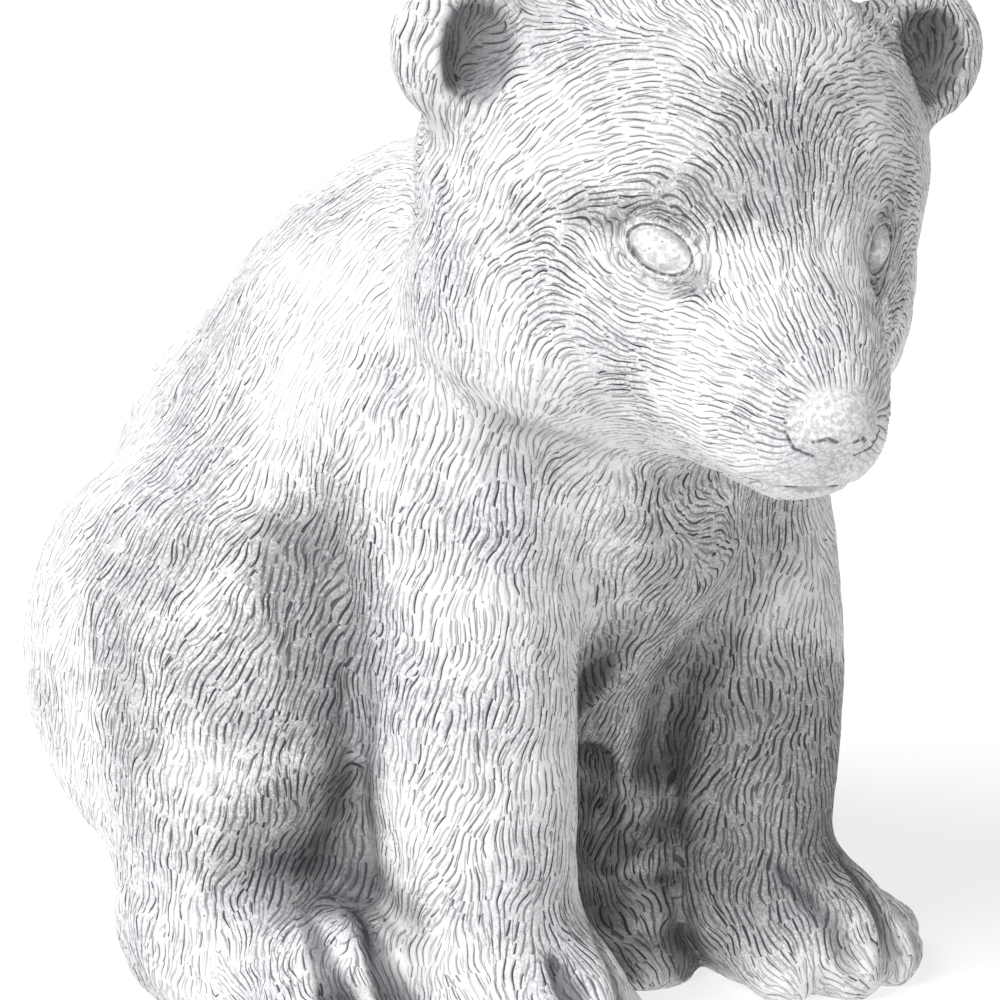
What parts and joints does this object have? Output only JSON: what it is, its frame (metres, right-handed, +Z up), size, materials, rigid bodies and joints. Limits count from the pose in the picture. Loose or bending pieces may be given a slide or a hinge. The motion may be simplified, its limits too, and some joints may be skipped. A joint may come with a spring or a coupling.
{
  "type": "animal figurine",
  "caption": "Seated bear cub figurine cast in one piece of pale stone, with carved fur, smooth blank eyes, head turned to its right and bowed, standing on its paws and rump",
  "frame": {"origin": "centre of the bounding box in X and Y, at the flat underside in Z", "axes": "+Z up, the body faces -Y, the cub's left side is +X"},
  "size_m": [0.2722, 0.3552, 0.35],
  "materials": {
    "cast_stone": "rough pale cast stone with a white wash, darker in the grooves"
  },
  "bodies": {
    "root": {"bear_cub": "cast_stone"}
  },
  "joints": []
}
